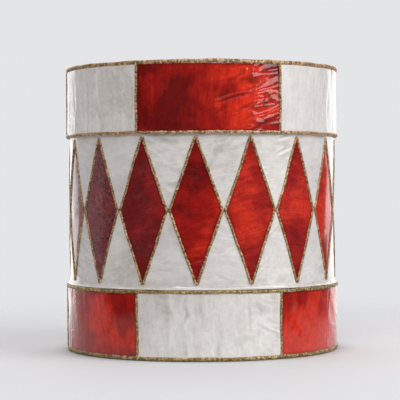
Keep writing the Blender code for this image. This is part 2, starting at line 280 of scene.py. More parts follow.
def turned_points(profile, steps):
    """Points of a closed profile of (radius, height) carried round Z.

    Row i is the profile at angle i; the profile runs up its outer side.
    """
    angle = np.linspace(0.0, 2 * math.pi, steps, endpoint=False)[:, None]
    radius, height = np.asarray(profile, float).T[:, None, :]
    return round_axis(radius, angle, height)


def arc(centre, radius, start, end, steps):
    """Points on an arc from one angle to another, in degrees."""
    angle = np.radians(np.linspace(start, end, steps + 1))
    return [(centre[0] + radius * math.cos(a), centre[1] + radius * math.sin(a)) for a in angle]


def make_turned(name, profile, steps, slot, replaces, body="lantern", crease=50.0):
    """A turned piece whose profile starts and ends on the axis, or closes on itself."""
    profile = np.asarray(profile, float)
    if profile[0, 0] > 0.0:
        points = turned_points(profile, steps).reshape(-1, 3)
        faces = grid_faces(steps, len(profile), True, True, flip=True)
        return make_piece(name, points, faces, slot, replaces, body, crease)
    inner = profile[1:-1]
    points = turned_points(inner, steps).reshape(-1, 3)
    foot, head = len(points), len(points) + 1
    points = np.vstack([points, [[0, 0, profile[0, 1]], [0, 0, profile[-1, 1]]]])
    first = np.arange(steps) * len(inner)
    faces = grid_faces(steps, len(inner), True, False, flip=True).tolist()
    faces += fan(foot, first, flip=True) + fan(head, first + len(inner) - 1)
    return make_piece(name, points, faces, slot, replaces, body, crease)


# ---- Materials ----

def set_inputs(tree, node, inputs):
    """Link or set several inputs of a node."""
    for key, value in inputs.items():
        if isinstance(value, bpy.types.NodeSocket):
            tree.links.new(value, node.inputs[key])
        else:
            node.inputs[key].default_value = value


def add_node(tree, kind, inputs=None, **settings):
    """A shader node; inputs are sockets to link or values to set."""
    node = tree.nodes.new(f"ShaderNode{kind}")
    for key, value in settings.items():
        setattr(node, key, value)
    set_inputs(tree, node, inputs or {})
    return node


def attribute(tree, key):
    """A number stored on the piece's points."""
    return add_node(tree, "Attribute", attribute_name=key).outputs["Fac"]


def object_space(tree):
    """The place of a point on its own piece, in metres."""
    return add_node(tree, "TexCoord").outputs["Object"]


def bump(tree, height, strength, distance):
    """The way a surface faces once the height roughens it."""
    return add_node(tree, "Bump", {"Strength": strength, "Distance": distance,
                                   "Height": height}).outputs[0]


def mix(tree, factor, first, second, blend="MIX"):
    """Mixed colour of two colours or sockets."""
    ends = [end if isinstance(end, bpy.types.NodeSocket) else (*end, 1.0)
            for end in (first, second)]
    return add_node(tree, "Mix", {0: factor, 6: ends[0], 7: ends[1]},
                    data_type="RGBA", blend_type=blend).outputs[2]


def remap(tree, value, low, high, to_low=0.0, to_high=1.0):
    """A value carried smoothly from one range to another, and held there."""
    return add_node(tree, "MapRange", {"Value": value, "From Min": low, "From Max": high,
                                       "To Min": to_low, "To Max": to_high},
                    interpolation_type="SMOOTHSTEP").outputs["Result"]


def maths(tree, operation, first, second):
    """One sum on two values or sockets."""
    return add_node(tree, "Math", {0: first, 1: second}, operation=operation).outputs[0]


def noise(tree, vector, scale, detail=2.0, rough=0.5, stretch=None, swirl=0.0):
    """Noise between 0 and 1, with the coordinates stretched first if asked."""
    if stretch is not None:
        vector = add_node(tree, "Mapping", {"Vector": vector, "Scale": stretch}).outputs[0]
    return add_node(tree, "TexNoise", {"Vector": vector, "Scale": scale, "Detail": detail,
                                       "Roughness": rough, "Distortion": swirl}).outputs["Fac"]


def new_material(name):
    """The tree and the Principled shader of a new material."""
    material = bpy.data.materials.new(name)
    material.use_nodes = True
    return material.node_tree, material.node_tree.nodes["Principled BSDF"]


def grey(tree, value):
    """A colour with the same value in every channel."""
    return add_node(tree, "CombineColor", {0: value, 1: value, 2: value}).outputs[0]


def weighted(tree, *terms):
    """Sum of values, each times its weight."""
    total = 0.0
    for value, weight in terms:
        total = maths(tree, "ADD", maths(tree, "MULTIPLY", value, weight), total)
    return total


# Waves to the metre of the patterns in the shell, broad to fine, and how
# tightly its growth lines are squeezed along and across.
CLOUD, PUFF, CURL, BLOTCH, SPECK = 34.0, 85.0, 120.0, 300.0, 900.0
BROAD_LINES = (320.0, 45.0, 1.0)
FINE_LINES = (1300.0, 120.0, 1.0)
FOLDS = (48.0, 140.0, 1.0)
MOST_DIRT = 0.85


def shell_material(name, tones, haze, rim, contrast, nacre=None):
    """Capiz shell under clear resin.

    The growth map's first axis is the distance from the shell's hinge, so
    noise squeezed along it draws growth lines. The wall map lies flat on the
    wall and carries the wrinkles of the resin. The tone, haze, wrinkle and
    border attributes vary the shell from piece to piece and towards its edges.
    A stronger contrast also brings out folds, dirt and crackle.
    """
    tree, shader = new_material(name)
    growth = add_node(tree, "UVMap", uv_map="growth").outputs["UV"]
    wall = add_node(tree, "UVMap", uv_map="wall").outputs["UV"]
    fine = noise(tree, growth, 1.0, 3.0, 0.6, FINE_LINES)
    lines = noise(tree, growth, 1.0, 3.0, 0.6, BROAD_LINES)
    cloud = noise(tree, wall, CLOUD, 2.0, 0.5)
    puff = noise(tree, wall, PUFF, 3.0, 0.55, swirl=0.6)
    curl = noise(tree, wall, CURL, 3.0, 0.6, swirl=2.2)
    blotch = noise(tree, wall, BLOTCH, 3.0, 0.65)
    speck = noise(tree, wall, SPECK, 2.0, 0.7)

    value = weighted(tree, (cloud, 0.66), (puff, 0.22), (lines, 0.12))
    value = maths(tree, "ADD", value, attribute(tree, "tone"))
    tone = mix(tree, remap(tree, value, 0.36, 0.50), tones[0], tones[1])
    tone = mix(tree, remap(tree, value, 0.50, 0.66), tone, tones[2])
    if nacre is not None:
        tone = mix(tree, remap(tree, curl, 0.46, 0.66, 0.0, 0.6), tone, nacre[0])
        tone = mix(tree, remap(tree, puff, 0.46, 0.66, 0.0, 0.6), tone, nacre[1])
    texture = weighted(tree, (lines, 0.22), (fine, 0.22), (curl, 0.26), (blotch, 0.30))
    shade = remap(tree, texture, 0.38, 0.62, 1.0 - contrast, 1.0 + contrast)

    folds = noise(tree, wall, 1.0, 0.6, 0.5, FOLDS, swirl=0.9)
    folds = maths(tree, "ABSOLUTE", maths(tree, "SUBTRACT", folds, 0.5), 0.0)
    rough = attribute(tree, "wrinkle")
    patch = weighted(tree, (noise(tree, wall, 38.0, 1.0, 0.5), 1.0), (rough, 0.20))
    amount = maths(tree, "MULTIPLY", rough, remap(tree, patch, 0.56, 0.70))
    thick = maths(tree, "MULTIPLY", amount, maths(tree, "SUBTRACT", 0.07, folds))
    shade = weighted(tree, (shade, 1.0), (thick, contrast * 14.0))
    tone = mix(tree, 1.0, tone, grey(tree, shade), "MULTIPLY")
    milky = attribute(tree, "haze")
    mark = weighted(tree, (blotch, 0.55), (speck, 0.45), (milky, 4.0 * contrast ** 2))
    spot = maths(tree, "MULTIPLY", remap(tree, mark, 0.53, 0.58), remap(tree, puff, 0.40, 0.55))
    bloom = maths(tree, "MULTIPLY", milky, remap(tree, puff, 0.3, 0.7, 0.45, 1.3))
    tone = mix(tree, bloom, tone, haze)
    dirt = weighted(tree, (milky, 1440.0 * contrast ** 4))
    spot = maths(tree, "MULTIPLY", spot, maths(tree, "ADD", dirt, 16.0 * contrast ** 3))
    spot = maths(tree, "MINIMUM", spot, MOST_DIRT)
    tone = mix(tree, spot, tone, tuple(channel * 0.3 for channel in tones[0]))
    edge = remap(tree, attribute(tree, "border"), 0.15, 1.0)
    tone = mix(tree, maths(tree, "MULTIPLY", edge, 0.45), tone, rim)

    ridge = weighted(tree, (fine, 0.25), (lines, 0.7), (blotch, 0.35), (curl, 0.5))
    swell = noise(tree, wall, 75.0, 0.5, 0.5)
    crackle = maths(tree, "MULTIPLY", milky, mark)
    wave = weighted(tree, (swell, 0.7), (blotch, 0.055), (crackle, 9.0 * contrast),
                    (maths(tree, "MULTIPLY", folds, amount), 4.2))
    set_inputs(tree, shader, {
        "Base Color": tone,
        "Roughness": 0.42,
        "Specular IOR Level": 0.05,
        "Normal": bump(tree, ridge, 0.5, 0.00045),
        "Coat Weight": 1.0,
        "Coat Roughness": 0.10,
        "Coat IOR": 1.5,
        "Coat Normal": bump(tree, wave, 0.6, 0.0006),
    })


def red_shell(settings):
    """Red dyed shell."""
    tones = (settings.red_deep[:], settings.red_mid[:], settings.red_bright[:])
    shell_material("red_shell_finish", tones, settings.haze[:], settings.red_deep[:], 0.25)


def white_shell(settings):
    """Natural pearly shell."""
    tones = (settings.white_deep[:], settings.white_mid[:], settings.white_bright[:])
    shell_material("white_shell_finish", tones, (0.74, 0.70, 0.72), settings.blush[:], 0.11,
                   (settings.nacre[:], settings.rose[:]))


def gold_cord(settings):
    """Granular gold cord: a value on each point runs from the hollows to the raised grains; the
    hollows are painted darker as shade and the raised grains lighter as highlight, over the
    glitter's own flecks.
    """
    tree, shader = new_material("gold_cord_finish")
    grit = noise(tree, object_space(tree), 1900.0, 2.0, 0.6)
    value = weighted(tree, (attribute(tree, "grain_and_painted_light"), 1.0),
                     (maths(tree, "SUBTRACT", grit, 0.5), 1.3))
    body = mix(tree, attribute(tree, "green"), settings.mid[:], settings.olive[:])
    tone = mix(tree, remap(tree, value, 0.28, 0.52), settings.dark[:], body)
    tone = mix(tree, remap(tree, value, 0.56, 0.76), tone, settings.bright[:])
    set_inputs(tree, shader, {
        "Base Color": tone,
        "Metallic": 0.30,
        "Roughness": remap(tree, value, 0.3, 0.8, 0.60, 0.34),
        "Normal": bump(tree, grit, 0.6, 0.00025),
    })


def clear_glass(settings):
    """Clear glass, seen as a thin film with a faint green tint."""
    tree, shader = new_material("clear_glass_finish")
    smear = noise(tree, object_space(tree), 30.0, 3.0, 0.6)
    set_inputs(tree, shader, {
        "Base Color": (*settings.glass_tint, 1.0),
        "Roughness": remap(tree, smear, 0.4, 0.7, 0.03, 0.09),
        "Alpha": 0.15,
        "IOR": 1.5,
    })


def milky_strip(settings):
    """Milky plastic strip with a soft cloudiness."""
    tree, shader = new_material("milky_strip_finish")
    cloud = noise(tree, object_space(tree), 60.0, 3.0, 0.5)
    darker = tuple(c * 0.86 for c in settings.strip)
    set_inputs(tree, shader, {
        "Base Color": mix(tree, remap(tree, cloud, 0.35, 0.65), darker, settings.strip[:]),
        "Roughness": 0.5,
    })


def spun_brass(settings):
    """Spun brass: fine rings from the spinning tool, and a little tarnish."""
    tree, shader = new_material("spun_brass_finish")
    space = object_space(tree)
    side, depth, height = add_node(tree, "SeparateXYZ", {0: space}).outputs
    squares = maths(tree, "ADD", maths(tree, "POWER", side, 2.0),
                    maths(tree, "POWER", depth, 2.0))
    reach = maths(tree, "SQRT", squares, 0.0)
    along = add_node(tree, "CombineXYZ", {0: reach, 1: height}).outputs[0]
    rings = noise(tree, along, 2600.0, 2.0, 0.6)
    tarnish = noise(tree, space, 75.0, 4.0, 0.6)
    darker = tuple(c * f for c, f in zip(settings.brass, (0.62, 0.55, 0.5)))
    set_inputs(tree, shader, {
        "Base Color": mix(tree, remap(tree, tarnish, 0.40, 0.72), settings.brass[:], darker),
        "Metallic": 1.0,
        "Roughness": remap(tree, tarnish, 0.3, 0.7, 0.24, 0.42),
        "Normal": bump(tree, rings, 0.25, 0.0001),
    })


# ---- Pieces of shell ----

def slow_waves(across, up, rng, low=0.012, high=0.045, count=7):
    """Sum of sine waves of random direction and length, about one unit high."""
    total = np.zeros_like(across)
    for _ in range(count):
        turn = rng.uniform(0.0, math.pi)
        wave = 2 * math.pi / rng.uniform(low, high)
        phase = rng.uniform(0.0, 2 * math.pi)
        total += np.sin(wave * (across * math.cos(turn) + up * math.sin(turn)) + phase)
    return total / math.sqrt(count)


def growth_field(across, up, hinge):
    """Distance from the shell's hinge, and the way along the growth lines.

    growth = distance to the hinge point; along = angle about it times the
    hinge's distance from the piece's middle.
    """
    side, rise = across - hinge[0], up - hinge[1]
    growth = np.hypot(side, rise)
    along = np.arctan2(side, rise) if abs(hinge[1]) > abs(hinge[0]) else np.arctan2(rise, side)
    return growth, along * math.hypot(*hinge)


# Spacings of the growth ridges, sway of a crease, what brings a crease's painted
# shade (dark on one side, light on the other) up to about one, where a curl starts
# as a share of the way to the corner, how far the dye creeps in from the cords, and
# where and how fast the resin roughens.
RIDGE_SPACINGS = (0.0031, 0.0047, 0.0083)
CREASE_SWAY = 0.0013
CREASE_SHADE_PEAK = 2.3
RED_CREASE_SHADE = 0.25
CURL_START = 0.46
BORDER_WIDTH = 0.0011
ROUGH_START = 0.004
ROUGH_BLEND = 0.014


def shell_plate(name, place, half_width, slot, settings, rng, hinge, replaces, creases=(),
                lean=None, milky=0.0, tone=0.0, lift=0.0, wrinkle=0.5, rough_side=0.0,
                tone_seed=0, curl=(0.0, 0.0), patches=()):
    """A piece of shell on the wall: a thin closed plate.

    The outer face is the surface (angle = middle + across / radius, height),
    with across running from -half_width(height) to +half_width(height). It
    stands out by slow waves, growth ridges sin(growth / length), and winding
    upright creases exp(-((across - place - sway) / width)^2). One corner curls
    in by a square law. The inner face is SHELL_THICKNESS behind. The haze is
    milky all over, or grows to the side that lean gives.
    """
    middle, radius, low, high = place
    rows = max(4, int((high - low) / settings.grid) + 1)
    widest = max(half_width(low), half_width(high), half_width((low + high) / 2))
    columns = max(4, int(2 * widest / settings.grid) + 1)
    up = np.linspace(low, high, rows)[:, None] + np.zeros((1, columns))
    across = np.linspace(-1.0, 1.0, columns)[None, :] * np.vectorize(half_width)(up)
    flat = 0.0 * across
    centre_up = up - (low + high) / 2
    growth, along = growth_field(across, centre_up, hinge)
    relief = settings.swell * slow_waves(across, centre_up, rng)
    ridges = sum(np.sin(2 * math.pi * growth / spacing + rng.uniform(0, 6.28))
                 for spacing in RIDGE_SPACINGS)
    relief += settings.ripple * ridges
    towards, depth = curl
    reached = across * math.cos(towards) + centre_up * math.sin(towards)
    start = CURL_START * reached.max()
    relief -= depth * ((reached - start) / (reached.max() - start)).clip(0.0) ** 2
    # Painted shade beside each crease: darker on one side, lighter on the other, as if lit from
    # the side.
    painted_crease_shade = np.zeros_like(across)
    crease_shade_share = CREASE_SHADE_PEAK * (RED_CREASE_SHADE if slot == "red_shell" else 1.0)
    for side, depth, width in creases:
        sway = CREASE_SWAY * slow_waves(centre_up, flat, rng, 0.012, 0.06, 4)
        fading = 0.5 + 0.5 * np.sin(centre_up / rng.uniform(0.006, 0.012) + rng.uniform(0, 6.28))
        offset = (across - side - sway) / width
        fold = depth * (0.25 + 0.75 * fading) * np.exp(-offset ** 2)
        relief += settings.crease * fold
        painted_crease_shade += settings.painted_crease_shade * crease_shade_share * offset * fold
    angle = middle + across / radius
    points = np.concatenate([round_axis(reach, angle, up).reshape(-1, 3)
                             for reach in (radius + relief, radius - SHELL_THICKNESS + flat)])
    count = rows * columns
    index = np.arange(count).reshape(rows, columns)
    edge = np.concatenate([index[0, :], index[1:, -1], index[-1, -2::-1], index[-2:0:-1, 0]])
    following = np.roll(edge, -1)
    faces = np.concatenate([
        grid_faces(rows, columns), grid_faces(rows, columns, start=count, flip=True),
        np.stack([edge, edge + count, following + count, following], axis=-1)])
    piece = make_piece(name, points, faces, slot, replaces)
    offset = rng.uniform(0.0, 5.0, 4)
    turn = rng.uniform(-0.6, 0.4)
    for key, (first, second), start in (
            ("growth", (growth, along), 0),
            ("wall", (across * math.cos(turn) - up * math.sin(turn),
                      across * math.sin(turn) + up * math.cos(turn)), 2)):
        add_map(piece, key, np.tile(first.ravel() + offset[start], 2),
                np.tile(second.ravel() + offset[start + 1], 2))
    dye = np.random.default_rng(tone_seed)
    drift = settings.cloud * slow_waves(across, centre_up, dye, 0.05, 0.12, 3)
    # Painted light: the tone rises towards the right side and falls towards the left, as if lit
    # from the right; the creases add their painted shade.
    drift += settings.turn * np.sin(angle) + painted_crease_shade
    for side, rise, size, amount in patches:
        drift += amount * np.exp(-((across - side) ** 2 + (centre_up - rise) ** 2) / size ** 2)
    swing = np.tanh((across - ROUGH_START * rough_side) / ROUGH_BLEND)
    haze = milky + flat
    if lean is not None:
        haze = milky * (0.5 + 0.5 * lean * across / widest).clip(0.0, 1.0) ** 2
    half = np.abs(across[:, -1:])
    to_edge = np.minimum(np.minimum(half - np.abs(across), 0.3 * half + flat),
                         np.minimum(up - low, high - up))
    values = {
        "haze": haze,
        "tone": tone + lift + drift,
        "border": np.exp(-((to_edge - settings.overlap).clip(0.0) / BORDER_WIDTH) ** 2),
        "wrinkle": wrinkle * (1.0 + rough_side * swing),
    }
    for key, value in values.items():
        add_point_values(piece, key, np.tile(value.ravel(), 2))


# How far a diamond's shell stops short of the cord's outside, across and along
# the slope, and its least half width; how much narrower still the white ground's
# cut-out is, and the gap where two triangles meet.
CORD_TUCK = 0.0009
SLOPE_TUCK = 0.0002
TIP_HALF = 0.00025
GROUND_LAP = 0.0004
MEETING_GAP = 0.00005


def diamond_half(height):
    """Half width of a diamond of shell at a height, out to the middle of its cord."""
    half_height = (FIRST_CORD["high"] - FIRST_CORD["low"]) / 2
    share = 1.0 - abs(height - DIAMOND_Z) / half_height
    return max(TIP_HALF, (FIRST_CORD["half"] * BODY_RADIUS - CORD_TUCK) * share - SLOPE_TUCK)


def triangle_half(height):
    """Half width of the white ground between two diamonds at a height."""
    half_pitch = BODY_RADIUS * PITCH_ANGLE / 2
    return half_pitch - max(0.0, diamond_half(height) - GROUND_LAP) - MEETING_GAP


class LANTERN_OT_band_panels(bpy.types.Operator):
    """Make the twelve shell panels of the two bands"""

    bl_idname = "lantern.band_panels"
    bl_label = "Band Panels"

    def execute(self, context):
        settings = context.scene.lantern_shell
        red_shell(settings)
        white_shell(settings)
        for order, node in enumerate(RED_PANELS + WHITE_PANELS):
            spot = wall_place(node)
            rng = np.random.default_rng(SEEDS["panel"] + order)
            slot = "white_shell" if node in WHITE_PANELS else "red_shell"
            half = spot["half"] * spot["outer"] + settings.overlap
            side = rng.choice((-1.0, 1.0))
            hinge = (side * rng.uniform(0.13, 0.24), rng.uniform(-0.05, 0.05))
            creases = [(half * rng.uniform(-0.9, 0.9), rng.choice((-1.0, 1.0)),
                        rng.uniform(0.0009, 0.0028))
                       for _ in range(7 if slot == "white_shell" else 2)]
            look = {"lean": rng.uniform(-1.0, 1.0), "milky": rng.uniform(0.0, 0.10),
                    "tone": rng.uniform(-0.02, 0.02), "wrinkle": rng.uniform(0.15, 0.45),
                    "rough_side": side,
                    "curl": (rng.uniform(0.0, 6.28), rng.uniform(0.0, 0.0004)),
                    "tone_seed": SEEDS["panel_dye"] + order, **APART.get(node, {})}
            if slot == "white_shell":
                look["milky"] = 0.5
            place = (spot["middle"], spot["outer"],
                     spot["low"] - settings.overlap, spot["high"] + settings.overlap)
            shell_plate(f"{node}_shell", place, lambda height, half=half: half, slot,
                        settings, rng, hinge, (node,), creases, **look)
        return {"FINISHED"}


class LANTERN_OT_diamonds(bpy.types.Operator):
    """Make the sixteen red diamonds"""

    bl_idname = "lantern.diamonds"
    bl_label = "Diamonds"

    def execute(self, context):
        settings = context.scene.lantern_shell
        tip_gap = 0.0006
        for order, node in enumerate(DIAMONDS):
            cord = wall_place(DIAMOND_CORDS[order])
            rng = np.random.default_rng(SEEDS["diamond"] + order)
            hinge = (rng.uniform(-0.05, 0.05), rng.choice((-1.0, 1.0)) * rng.uniform(0.12, 0.26))
            look = {"milky": rng.uniform(0.0, 0.25) ** 2, "tone": rng.uniform(-0.02, 0.02),
                    "wrinkle": rng.uniform(0.1, 0.5),
                    "tone_seed": SEEDS["diamond_dye"] + order, **APART.get(node, {})}
            place = (cord["middle"], BODY_RADIUS, cord["low"] + tip_gap, cord["high"] - tip_gap)
            shell_plate(f"{node}_shell", place, diamond_half, "red_shell", settings, rng,
                        hinge, (node,), **look)
        return {"FINISHED"}


class LANTERN_OT_white_ground(bpy.types.Operator):
    """Make the white triangles between the diamonds, and the ledge over the lower band"""

    bl_idname = "lantern.white_ground"
    bl_label = "White Ground"

    def execute(self, context):
        settings = context.scene.lantern_shell
        lap = 0.0008
        levels = {"upper": (UPPER_GROUND["low"] - lap, UPPER_GROUND["high"] + lap / 4, -1.0),
                  "lower": (LOWER_GROUND["low"] + lap, LOWER_GROUND["high"] + lap, 1.0)}
        for row, (low, high, side) in levels.items():
            for order, node in enumerate(DIAMOND_CORDS):
                rng = np.random.default_rng(SEEDS[f"{row}_triangle"] + order)
                hinge = (rng.uniform(-0.05, 0.05), side * rng.uniform(0.10, 0.22))
                look = {"milky": rng.uniform(0.0, 0.5), "tone": rng.uniform(-0.06, 0.02),
                        "wrinkle": rng.uniform(0.3, 0.8),
                        "tone_seed": SEEDS["triangle_dye"] + order}
                place = (wall_place(node)["middle"] + PITCH_ANGLE / 2, BODY_RADIUS, low, high)
                shell_plate(f"white_{row}_triangle_{order + 1:02d}", place, triangle_half,
                            "white_shell", settings, rng, hinge, (f"white_ground_{row}",),
                            **look)
        self.make_ledge()
        return {"FINISHED"}

    def make_ledge(self):
        """Smooth white fillet: a quarter cove from the wall out over the band's edge."""
        overhang, sill_height, extra_rise = 0.0006, 0.0003, 0.0012
        foot, reach = LOWER_GROUND["low"], LOWER_GROUND["outer"] + overhang
        sill, back = foot + sill_height, BODY_RADIUS - SHELL_THICKNESS
        rise = reach - BODY_RADIUS + extra_rise
        cove = [(BODY_RADIUS + (reach - BODY_RADIUS) * (1 - math.sin(t)),
                 sill + rise * (1 - math.cos(t))) for t in np.linspace(0.0, math.pi / 2, 7)]
        profile = [(back, foot), (reach, foot), *cove, (back, sill + rise)]
        ledge = make_turned("white_ledge", profile, 240, "white_shell", ())
        points = mesh_points(ledge.data)
        x, y, z = points.T
        around = np.arctan2(x, -y) * BODY_RADIUS
        uneven = slow_waves(np.sin(around / BODY_RADIUS), np.cos(around / BODY_RADIUS),
                            np.random.default_rng(SEEDS["ledge"]), 0.05, 0.4, 9)
        z += (z - foot) * (0.22 * uneven).clip(-0.5, 0.5)
        ledge.data.vertices.foreach_set("co", points.ravel())
        add_map(ledge, "growth", z, around)
        add_map(ledge, "wall", around, z)
        for key, value in (("haze", 0.2), ("tone", -0.12), ("wrinkle", 0.4), ("border", 0.0)):
            add_point_values(ledge, key, value + 0.0 * z)


# ---- Gold cords ----

def smooth_noise(shape, rng, passes, wrap):
    """Random grains on a grid, averaged with their neighbours, scaled to about one."""
    grid = rng.normal(size=shape)
    for _ in range(passes):
        grid = (grid + np.roll(grid, 1, 1) + np.roll(grid, -1, 1)) / 3
        if wrap:
            grid = (grid + np.roll(grid, 1, 0) + np.roll(grid, -1, 0)) / 3
        else:
            padded = np.pad(grid, ((1, 1), (0, 0)), mode="edge")
            grid = (padded[:-2] + padded[1:-1] + padded[2:]) / 3
    return grid / grid.std()


def way_along(line):
    """How far along a line each of its points lies."""
    steps = np.linalg.norm(np.diff(line, axis=0), axis=1)
    return np.concatenate([[0.0], np.cumsum(steps)])


def points_at(line, way, stations):
    """Points of a line at the given ways along it."""
    return np.stack([np.interp(stations, way, values) for values in line.T], axis=-1)


def even_path(line, closed, spacing):
    """Points spaced evenly along a line, and its length; a closed line isn't repeated."""
    line = np.vstack([line, line[:1]]) if closed else line
    way = way_along(line)
    count = max(8, int(round(way[-1] / spacing)))
    stations = np.linspace(0.0, way[-1], count + (0 if closed else 1), endpoint=not closed)
    return points_at(line, way, stations), way[-1]


# How far from the meeting of a loop's two ends the cord is thickened.
KNOT_LENGTH = 0.0022


def cord_piece(name, line, closed, radius, settings, seed, sides, node, green=0.5, knot=0.0):
    """A twisted, grainy cord along a line on the wall.

    At the way s along it and the angle t round it, the surface stands
    radius * (0.88 + 0.09 |cos(1.5 (t - 2 pi s / lay))| + grains) from the
    path: three plies laid round each other, rough with grains. A knot is how
    much the cord thickens where the two ends of a loop meet.
    """
    path, total = even_path(line, closed, settings.spacing)
    rng = np.random.default_rng(seed)
    count = len(path)
    if closed:
        ahead, behind = np.roll(path, -1, 0), np.roll(path, 1, 0)
    else:
        ahead = np.vstack([path[1:], path[-1:]])
        behind = np.vstack([path[:1], path[:-1]])
    tangent = ahead - behind
    tangent /= np.linalg.norm(tangent, axis=1)[:, None]
    outward = path * (1.0, 1.0, 0.0)
    outward -= tangent * (outward * tangent).sum(1)[:, None]
    outward /= np.linalg.norm(outward, axis=1)[:, None]
    sideways = np.cross(tangent, outward)
    turn = np.linspace(0.0, 2 * math.pi, sides, endpoint=False)[None, :]
    way = (np.arange(count) * total / count)[:, None]
    laps = max(1, round(total / settings.lay))
    ply = np.abs(np.cos(1.5 * (turn - 2 * math.pi * laps * way / total)))
    grain = smooth_noise((count, sides), rng, 1, closed)
    coarse = smooth_noise((count, sides), rng, 4, closed)
    reach = radius * (0.88 + 0.09 * ply + 0.06 * grain + 0.02 * coarse)
    to_ends = np.minimum(way, total - way)
    reach = reach * (1.0 + knot * np.exp(-(to_ends / KNOT_LENGTH) ** 2))
    rings = (path[:, None, :] + (reach * np.cos(turn))[:, :, None] * outward[:, None, :]
             + (reach * np.sin(turn))[:, :, None] * sideways[:, None, :])
    points = rings.reshape(-1, 3)
    faces = grid_faces(count, sides, closed, True).tolist()
    # Painted shade and highlight: lighter where the plies and grains stand out, darker in the
    # hollows between them and at the cut ends, over the glitter's own flecks.
    value = (0.46 + 0.16 * (ply - 0.6) + 0.17 * grain + 0.04 * coarse).ravel()
    if not closed:
        points = np.vstack([points, path[:1], path[-1:]])
        value = np.concatenate([value, [0.3, 0.3]])
        ring = np.arange(sides)
        faces += fan(count * sides, ring, flip=True)
        faces += fan(count * sides + 1, ring + (count - 1) * sides)
    piece = make_piece(name, points, faces, "gold_cord", (node,), crease=180)
    add_point_values(piece, "grain_and_painted_light", value.clip(0.0, 1.0))
    add_point_values(piece, "green", green + 0.0 * value)


def diamond_line(half_width, half_height, bend):
    """Closed line round a diamond with rounded corners, from the foot, anticlockwise.

    Each corner is an arc of radius bend that touches both sides. The line's
    furthest points are half_width to the side and half_height up and down.
    """
    slope = math.atan2(half_width, half_height)
    for _ in range(3):
        sharp_width = half_width + bend * (1 / math.cos(slope) - 1)
        sharp_height = half_height + bend * (1 / math.sin(slope) - 1)
        slope = math.atan2(sharp_width, sharp_height)
    tilt = math.degrees(slope)
    side, tip = half_width - bend, half_height - bend
    line = arc((0.0, -tip), bend, -90, -tilt, 8)
    line += arc((side, 0.0), bend, -tilt, tilt, 6)
    line += arc((0.0, tip), bend, tilt, 180 - tilt, 16)
    line += arc((-side, 0.0), bend, 180 - tilt, 180 + tilt, 6)
    line += arc((0.0, -tip), bend, 180 + tilt, 270, 8)[:-1]
    return np.array(line)


def filled_loop(loop, spacing):
    """The same closed line with points added along its long straights."""
    line = np.vstack([loop, loop[:1]])
    way = way_along(line)
    stations = np.unique(np.concatenate([way, np.arange(0.0, way[-1], spacing)]))[:-1]
    return points_at(line, way, stations)


class LANTERN_OT_diamond_cords(bpy.types.Operator):
    """Make the closed loop of gold cord round each diamond"""

    bl_idname = "lantern.diamond_cords"
    bl_label = "Diamond Cords"

    def execute(self, context):
        settings = context.scene.lantern_cord
        gold_cord(settings)
        radius = settings.diamond_radius
        ring = (FIRST_CORD["inner"] + FIRST_CORD["outer"]) / 2
        half_width = FIRST_CORD["half"] * BODY_RADIUS - radius + settings.press
        half_height = (FIRST_CORD["high"] - FIRST_CORD["low"]) / 2 - radius
        outline = filled_loop(diamond_line(half_width, half_height, settings.bend), 0.002)
        aside, up = outline.T
        inside = 1.0 - np.abs(aside) / half_width
        for order, node in enumerate(DIAMOND_CORDS):
            rng = np.random.default_rng(SEEDS["loop"] + order)
            sway = slow_waves(aside, up, rng, 0.010, 0.05)
            across = aside + settings.waver * sway * (4 * inside * (1 - inside))
            line = round_axis(ring, wall_place(node)["middle"] + across / ring, DIAMOND_Z + up)
            cord_piece(f"{node}_gold", line, True, radius, settings,
                       SEEDS["loop_grain"] + order, 12, node, knot=0.22)
        return {"FINISHED"}


